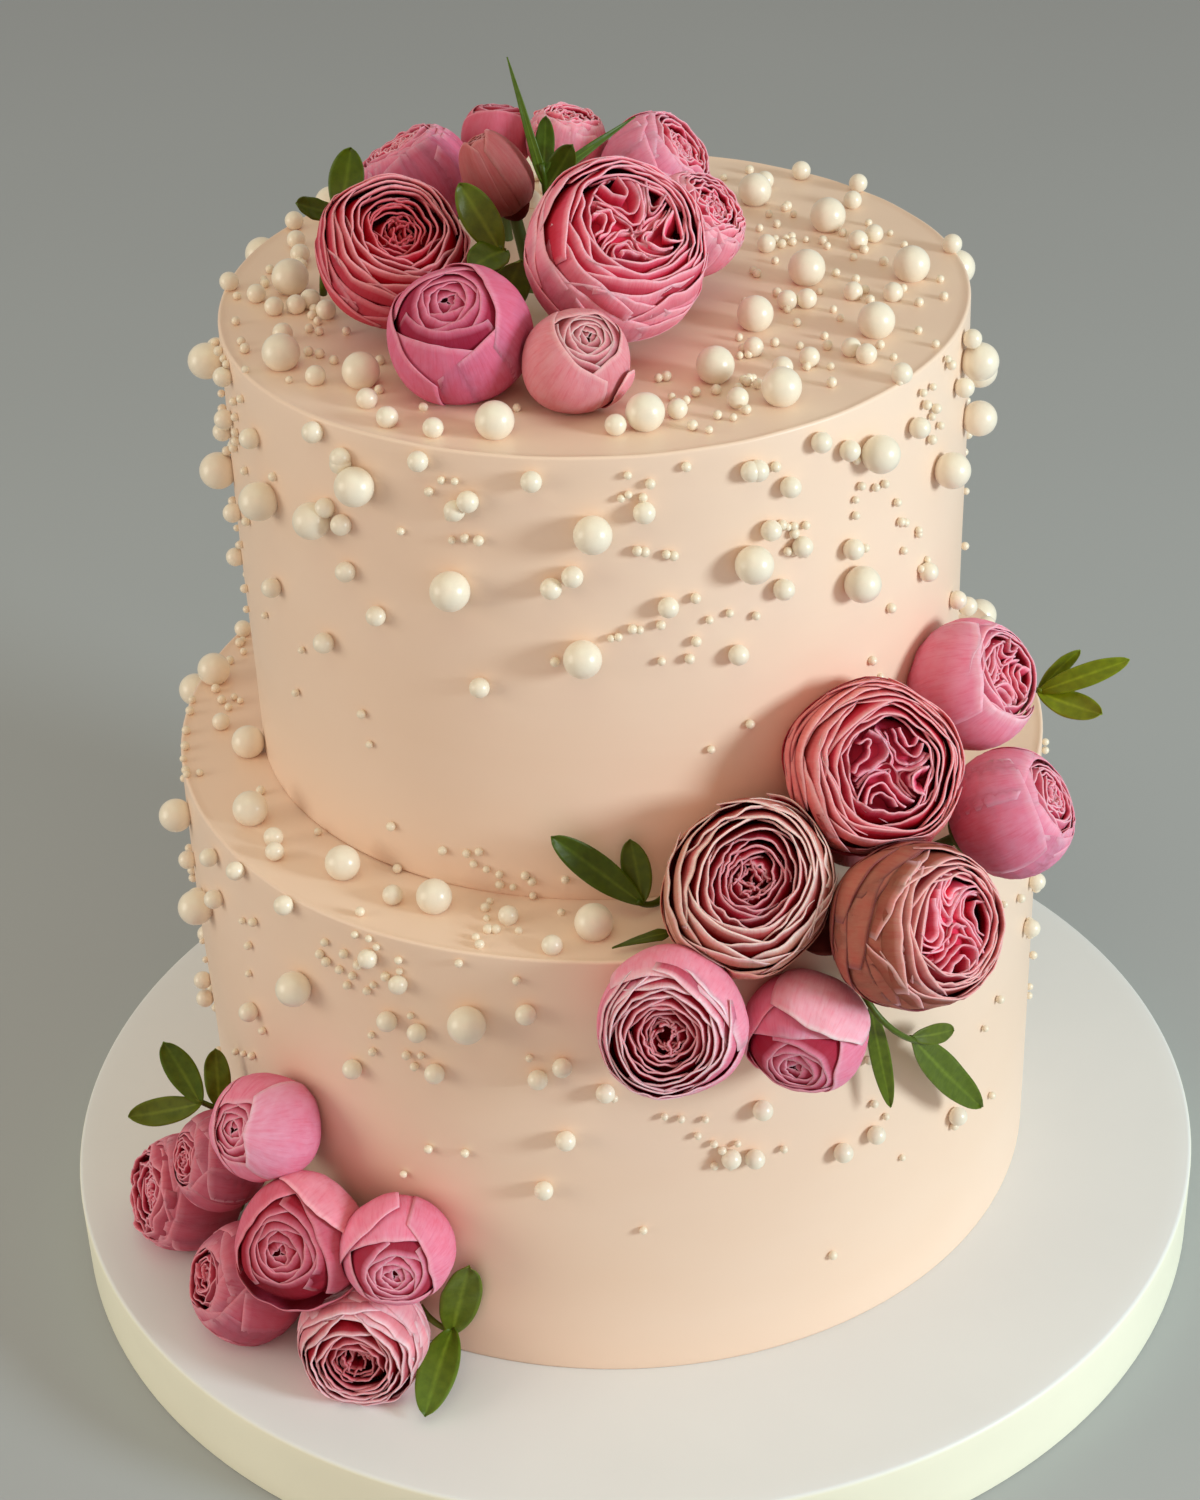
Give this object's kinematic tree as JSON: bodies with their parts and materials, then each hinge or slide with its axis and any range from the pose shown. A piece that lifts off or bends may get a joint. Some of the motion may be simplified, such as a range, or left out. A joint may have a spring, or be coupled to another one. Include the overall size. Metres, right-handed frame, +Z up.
{
  "type": "birthday cake",
  "caption": "Two-tier iced birthday cake on a round board, with clusters of garden roses, leaf sprigs and sugar pearls.",
  "frame": {"origin": "centre of the board's underside, where the cake stands", "axes": "+Z up through the tiers, -Y towards the decorated front, +X to the right seen from the front"},
  "size_m": [0.31, 0.31, 0.3211],
  "materials": {
    "board": "satin",
    "icing": "matte",
    "petal": "matte",
    "petal_dusty": "matte",
    "leaf": "satin",
    "pearl": "satin"
  },
  "bodies": {
    "root": {"board": "board", "tier_lower": "icing", "tier_upper": "icing", "bloom_top_1": "petal", "bloom_top_2": "petal", "bloom_top_3": "petal", "bloom_top_4": "petal", "bloom_top_5": "petal", "bloom_top_6": "petal", "bloom_top_7": "petal", "bloom_top_8": "petal", "bloom_top_9": "petal", "bloom_top_10": "petal", "bloom_mid_1": "petal", "bloom_mid_2": "petal", "bloom_mid_3": "petal", "bloom_mid_4": "petal_dusty", "bloom_mid_5": "petal_dusty", "bloom_mid_6": "petal", "bloom_mid_7": "petal", "bloom_mid_8": "petal", "bloom_low_1": "petal", "bloom_low_2": "petal", "bloom_low_3": "petal", "bloom_low_4": "petal", "bloom_low_5": "petal", "bloom_low_6": "petal", "bloom_low_7": "petal", "sprig_top_left": "leaf", "sprig_top_front": "leaf", "sprig_top_back": "leaf", "sprig_mid_left": "leaf", "sprig_mid_right": "leaf", "sprig_mid_low": "leaf", "sprig_low_left": "leaf", "sprig_low_right": "leaf"}
  },
  "joints": []
}
